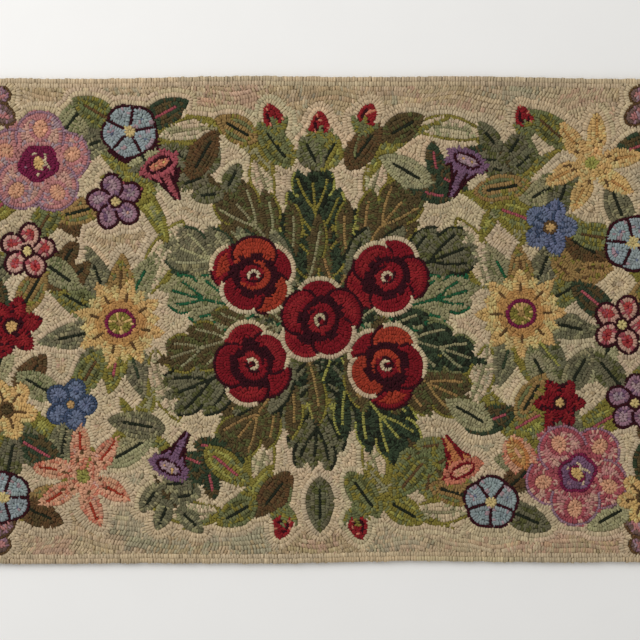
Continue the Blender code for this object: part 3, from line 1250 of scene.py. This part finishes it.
def makeLoopShape():
    # A box whose top is drawn in to a ridge across the row, like a folded strip
    build = cubeOnFloor()
    top = next(face for face in build.faces if face.normal.z > 0.9)
    for vert in build.verts:
        isTop = vert.co.z > 0.5
        halfX, halfY = loopForm["shoulder"] if isTop else loopForm["base"]
        height = loopForm["shoulderHeight"] if isTop else 0.0
        vert.co = (math.copysign(halfX, vert.co.x), math.copysign(halfY, vert.co.y), height)
    crown = bmesh.ops.extrude_discrete_faces(build, faces=[top])["faces"][0]
    for vert in crown.verts:
        vert.co = (0.0, math.copysign(loopForm["ridge"], vert.co.y), 1.0)
    bmesh.ops.remove_doubles(build, verts=build.verts, dist=0.001)
    return meshOf("loopShape", build)


def standLoops(table):
    # Place, turn and size of every loop, none quite like the next
    chance = np.random.default_rng(rug["seed"] + 1)
    count = len(table)
    lean = np.radians(stand["lean"]) * chance.normal(size=(count, 2))
    twist = table[:, 2] + np.radians(stand["twist"]) * chance.uniform(-1, 1, count)
    swell = stand["swell"] * noise(table[:, 0], table[:, 1], 26, 14)
    places = np.column_stack([table[:, 0], table[:, 1], np.full(count, stand["foot"])])
    wide = 1 + stand["width"] * chance.uniform(-1, 1, count)
    long = 1 + stand["width"] * chance.uniform(-1, 1, count)
    tall = rug["loopHeight"] * (1 + stand["height"] * chance.uniform(-1, 1, count)) + swell
    smaller = np.minimum(1, stand["small"] + stand["grow"] * table[:, 3])
    sizes = np.column_stack([table[:, 4] * long, table[:, 3] * wide, tall * smaller])
    return places, np.column_stack([lean, twist]), sizes


def makePile():
    # Ground and motifs as pieces side by side, from left to right
    shape = makeLoopShape()
    places, turns, sizes = standLoops(loopTable)
    isGround = pattern.spots[pattern.at(loopTable[:, 0], loopTable[:, 1])] <= 1
    pieces = []
    for kind, chosen in (("ground", isGround), ("motif", ~isGround)):
        order = np.nonzero(chosen)[0]
        order = order[np.argsort(loopTable[order, 0], kind="stable")]
        shares = np.array_split(order, math.ceil(len(order) / stand["largest"]))
        for number, part in enumerate(shares, 1):
            values = (places[part], turns[part], sizes[part], loopColours[part])
            pieces.append(manyCopies(f"{kind}Pile{number}", shape, *values, wool))
    return pieces


pile = makePile()


# What lies packed between the loops: millimetres
bed = dict(margin=6.0, cell=4.3, low=1.6, high=4.6, patch=3.1, unevenness=0.25)


def openEdges(build):
    return [edge for edge in build.edges if edge.is_boundary]


def makePackedStrips():
    # The lower parts of the strips, packed on the cloth so that no hole opens between two loops
    halfX, halfY = farX - bed["margin"] * mm, farY - bed["margin"] * mm
    columns, lines = (round(2 * half / (bed["cell"] * mm)) for half in (halfX, halfY))
    build = bmesh.new()
    bmesh.ops.create_grid(build, x_segments=columns, y_segments=lines, size=1.0)
    bmesh.ops.transform(build, verts=build.verts, matrix=Matrix.Diagonal((halfX, halfY, 1.0, 1.0)))
    lift(build, build.verts, bed["high"] * mm)
    lowered = bmesh.ops.extrude_edge_only(build, edges=openEdges(build))["geom"]
    lift(build, lowered, (bed["low"] - bed["high"]) * mm)
    bmesh.ops.holes_fill(build, edges=openEdges(build), sides=0)
    high = [vert for vert in build.verts if vert.co.z > bed["low"] * mm + 1e-5]
    spots = (np.array([vert.co[axis] for vert in high]) / mm for axis in (0, 1))
    for vert, share in zip(high, noise(*spots, bed["patch"], 15).tolist()):
        vert.co.z += share * bed["unevenness"] * mm
    bmesh.ops.recalc_face_normals(build, faces=build.faces)
    mesh = meshOf("packedStrips", build)
    mesh.shade_smooth()
    x, y, _ = readAll(mesh.vertices, "co", 3).T / mm
    spread = np.random.default_rng(rug["seed"] + 2).uniform(-1, 1, len(x))
    setColours(mesh, woolColours(x, y, edgeAway, spread))
    # The wool material paints shade on this bed, darker the lower it lies
    mesh.materials.append(wool)
    flatMap(mesh)
    print("piece packedStrips", len(mesh.polygons), "faces")
    return show("packedStrips", mesh)


packedStrips = makePackedStrips()


# Foundation

# The cloth under the loops: millimetres
cloth = dict(thickness=2.0, lift=0.25, rounding=0.7, hem=30.0, hemStep=0.7, thread=2.1,
             colour=(176, 150, 108))


def makeFoundationCloth():
    # Plain woven cloth with uneven threads
    fixed = {"Roughness": 0.92, "Sheen Weight": 0.1, "Specular IOR Level": 0.2}
    material, shader, place = newMaterial("foundationCloth", fixed)
    colour = place.make("ShaderNodeAttribute", attribute_name="woolColour")
    sides = [place.make("ShaderNodeSeparateXYZ", {0: place}, output=axis) for axis in ("X", "Y")]
    waves = [place.maths("SINE", side * (2 * math.pi / (cloth["thread"] * mm)), 0.0) for side in sides]
    weave = waves[0] * waves[1] * 0.5 + 0.5
    slub = grain(place, 260, 3.0)
    feed(shader, "Base Color", colour.scaled((weave * 0.35 + 0.7) * (slub * 0.5 + 0.75)))
    feedBump(shader, weave + slub * 0.5, 0.5, 0.0006)
    return material


foundationCloth = makeFoundationCloth()


def downFaces(build):
    return [face for face in build.faces if face.normal.z < -0.99]


def makeFoundation():
    # The cloth with its edge turned under all round, as one closed slab
    build = bmesh.new()
    corners = [build.verts.new((x, y, cloth["lift"] * mm)) for x, y in rugOutline()[::-1] * mm]
    lifted = bmesh.ops.extrude_face_region(build, geom=[build.faces.new(corners)], use_keep_orig=True)
    lift(build, lifted["geom"], (cloth["thickness"] - cloth["lift"]) * mm)
    bmesh.ops.recalc_face_normals(build, faces=build.faces)
    bmesh.ops.bevel(build, geom=list(downFaces(build)[0].edges), offset=cloth["rounding"] * mm, segments=2,
                    profile=0.5, affect="EDGES", material=-1)
    # The field inside the hem is cut free and raised by the thickness of the turned edge
    inner = farX - cloth["hem"] * mm, farY - cloth["hem"] * mm
    for axis, side in itertools.product((0, 1), (-1, 1)):
        parts = [item for face in downFaces(build) for item in (face, *face.edges, *face.verts)]
        point, normal = [0.0, 0.0, 0.0], [0.0, 0.0, 0.0]
        point[axis], normal[axis] = side * inner[axis], 1.0
        bmesh.ops.bisect_plane(build, geom=list(dict.fromkeys(parts)), plane_co=point, plane_no=normal,
                               dist=1e-6)
    field = [face for face in downFaces(build)
             if all(abs(face.calc_center_median()[axis]) < inner[axis] for axis in (0, 1))]
    whole = dict.fromkeys(item for face in field for item in (face, *face.edges))
    raised = bmesh.ops.extrude_face_region(build, geom=list(whole))["geom"]
    lift(build, raised, cloth["hemStep"] * mm)
    mesh = meshOf("foundation", build)
    setColours(mesh, np.tile(linearLight(cloth["colour"]), (len(mesh.vertices), 1)))
    mesh.materials.append(foundationCloth)
    print("foundation:", len(mesh.polygons), "faces")
    return show("foundation", mesh)


# The stitches on the hem: millimetres and degrees, and the share of the hem that a corner's seam crosses
sewing = dict(gap=9.0, size=(6.0, 1.0, 0.7), sink=0.55, slant=62, seam=0.7, colour=(206, 194, 168))


def hemStitches():
    # Small slanting stitches that hold the turned edge and its mitred corners down
    halfX, halfY = farX / mm - cloth["hem"], farY / mm - cloth["hem"]
    corners = [(-halfX, -halfY), (halfX, -halfY), (halfX, halfY), (-halfX, halfY)]
    seams = [*zip(corners, corners[1:] + corners[:1])]
    reach = sewing["seam"] * cloth["hem"]
    seams += [((x, y), (x + math.copysign(reach, x), y + math.copysign(reach, y))) for x, y in corners]
    rows = [evenSpots(np.array(seam), sewing["gap"]) for seam in seams]
    places, ways = (np.concatenate([row[part] for row in rows]) for part in (0, 1))
    build = bmesh.new()
    bmesh.ops.create_cube(build, size=1.0)
    bmesh.ops.bevel(build, geom=list(build.edges), offset=0.18, segments=1, profile=0.5,
                    affect="EDGES", material=-1)
    count = len(places)
    spots = np.column_stack([places, np.full(count, sewing["sink"] * sewing["size"][2])])
    turns = np.column_stack([np.zeros((count, 2)), ways + math.radians(sewing["slant"])])
    sizes, colours = (np.tile(one, (count, 1)) for one in (sewing["size"], linearLight(sewing["colour"])))
    shape = meshOf("stitchShape", build)
    return manyCopies("hemStitches", shape, spots, turns, sizes, colours, foundationCloth)


# The strips where they run from loop to loop under the cloth: millimetres and shares
backs = dict(root=1.15, height=1.0, long=2.1, wide=0.95, uneven=0.1, clear=2, ridge=0.8)


def stripBacks():
    # On the underside each strip lies flat in short ridges along its row
    limits = [far / mm - cloth["hem"] - backs["clear"] for far in (farX, farY)]
    chosen = np.nonzero(np.all(np.abs(loopTable[:, :2]) < limits, axis=1))[0][::2]
    table, count = loopTable[chosen], len(chosen)
    build = cubeOnFloor()
    for vert in build.verts:
        if vert.co.z > 0.5:
            vert.co.x, vert.co.y = backs["ridge"] * vert.co.x, 0.0
    bmesh.ops.remove_doubles(build, verts=build.verts, dist=0.001)
    spots = np.column_stack([table[:, :2], np.full(count, backs["root"])])
    turns = np.column_stack([np.full(count, math.pi), np.zeros(count), table[:, 2]])
    loose = 1 + backs["uneven"] * np.random.default_rng(rug["seed"] + 3).uniform(-1, 1, (count, 2))
    sizes = np.column_stack([
        backs["long"] * table[:, 4] * loose[:, 0], backs["wide"] * table[:, 3] * loose[:, 1],
        np.full(count, backs["height"]),
    ])
    shape, flatWool = meshOf("backShape", build), makeWool("flatWool", 1.0)
    return manyCopies("stripBacks", shape, spots, turns, sizes, loopColours[chosen], flatWool)


backing = makeFoundation()
stitches = hemStitches()
pile += [packedStrips, stripBacks()]

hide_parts("hooked_rug")
for piece in (backing, stitches):
    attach(piece, "root")
for piece in pile:
    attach(piece, "root")


# Floor, light and camera

stage = dict(
    view=0.80, cameraHeight=2.6, sensor=36.0,
    floorHalf=4.0, floorDrop=0.0002, floorColour=(0.87, 0.865, 0.85),
    lampPower=47.5, lampSize=1.9, lampAt=(-1.5, 1.3, 1.9), lampTurn=(-36, -38, 0),
    sky=0.55, skyColour=(1.0, 0.99, 0.97, 1.0),
)


def makeFloor():
    build = bmesh.new()
    bmesh.ops.create_grid(build, x_segments=2, y_segments=2, size=stage["floorHalf"])
    lift(build, build.verts, -stage["floorDrop"])
    material, shader, place = newMaterial("paleFloor", {"Roughness": 0.9})
    dust = grain(place, 14, 2.0)
    pale = place.make("ShaderNodeCombineXYZ", dict(enumerate(stage["floorColour"])))
    feed(shader, "Base Color", pale.scaled(dust * 0.03 + 0.98))
    mesh = meshOf("floor", build)
    mesh.materials.append(material)
    show("floor", mesh)


def makeLights():
    lamp = bpy.data.lights.new("softBox", "AREA")
    lamp.energy, lamp.size = stage["lampPower"], stage["lampSize"]
    show("softBox", lamp, stage["lampAt"], [math.radians(angle) for angle in stage["lampTurn"]])
    world = bpy.data.worlds.new("studio")
    world.use_nodes = True
    background = world.node_tree.nodes["Background"].inputs
    background["Color"].default_value = stage["skyColour"]
    background["Strength"].default_value = stage["sky"]
    bpy.context.scene.world = world


def makeCamera():
    # Straight down on the middle of the rug, as the photograph sees it
    camera = bpy.data.cameras.new("camera")
    camera.sensor_width = stage["sensor"]
    camera.lens = stage["sensor"] * (stage["cameraHeight"] - topZ) / stage["view"]
    bpy.context.scene.camera = show("camera", camera, (0, 0, stage["cameraHeight"]))


makeFloor()
makeLights()
makeCamera()
bpy.context.scene.view_settings.view_transform = "Standard"
